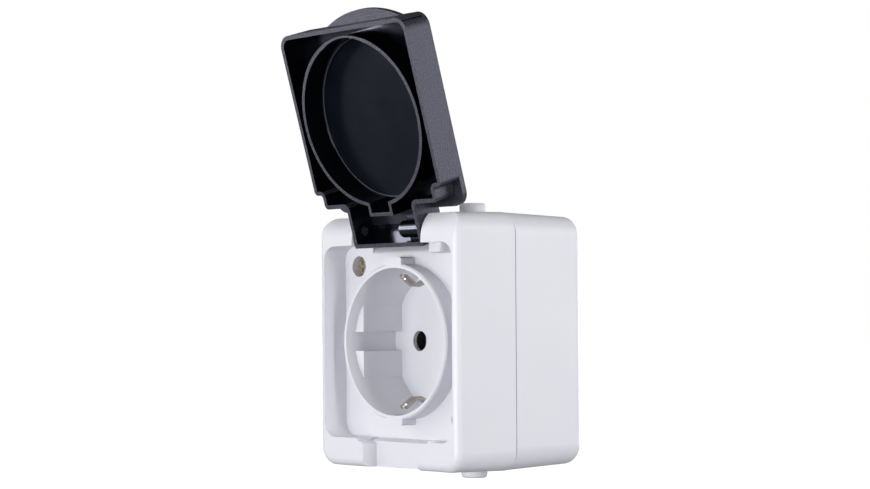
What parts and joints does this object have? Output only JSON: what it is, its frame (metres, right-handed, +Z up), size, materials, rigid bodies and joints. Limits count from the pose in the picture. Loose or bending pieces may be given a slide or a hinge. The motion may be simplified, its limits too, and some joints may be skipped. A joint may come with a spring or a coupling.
{
  "type": "outdoor weatherproof socket",
  "caption": "Surface-mounted weatherproof earthed socket: a boxed housing with a round plug cup and a hinged lid standing open.",
  "frame": {"origin": "centre of the back face, which lies on the wall", "axes": "+Y into the wall, -Y out of the socket's front, +Z up, +X to the right seen from the front"},
  "size_m": [0.0562, 0.0614, 0.1239],
  "materials": {
    "housing": "white moulded plastic, satin",
    "lid": "black moulded plastic, fine eroded grain outside",
    "pin_steel": "drawn steel",
    "gasket": "soft rubber",
    "entry_seal": "white soft rubber",
    "screw_brass": "passivated, dull",
    "base": "moulded, matt",
    "contact_brass": "stamped",
    "spring_steel": "spring steel",
    "nickel_strip": "nickel-plated strip",
    "screw_steel": "zinc-plated"
  },
  "bodies": {
    "housing": {"back_box": "housing", "front_cover": "housing", "hinge_pin_left": "pin_steel", "hinge_pin_right": "pin_steel", "cover_gasket": "gasket", "cable_entry_top": "entry_seal", "cable_entry_bottom": "entry_seal", "cover_screw_upper": "screw_brass", "cover_screw_lower": "screw_brass", "socket_base": "base", "line_contact": "contact_brass", "neutral_contact": "contact_brass", "line_contact_spring": "spring_steel", "neutral_contact_spring": "spring_steel", "line_terminal_screw": "screw_steel", "neutral_terminal_screw": "screw_steel", "earth_bow": "nickel_strip", "earth_clamp": "contact_brass", "earth_bow_rivet": "contact_brass", "earth_terminal_screw": "screw_steel", "base_screw_upper": "screw_steel", "base_screw_lower": "screw_steel"},
    "lid": {"lid": "lid"}
  },
  "joints": [
    {"name": "lid_hinge", "type": "hinge", "parent": "housing", "child": "lid", "pos_m": [0, -0.0425, 0.0296], "axis": [1, 0, 0], "range_deg": [0, 163.6]}
  ]
}
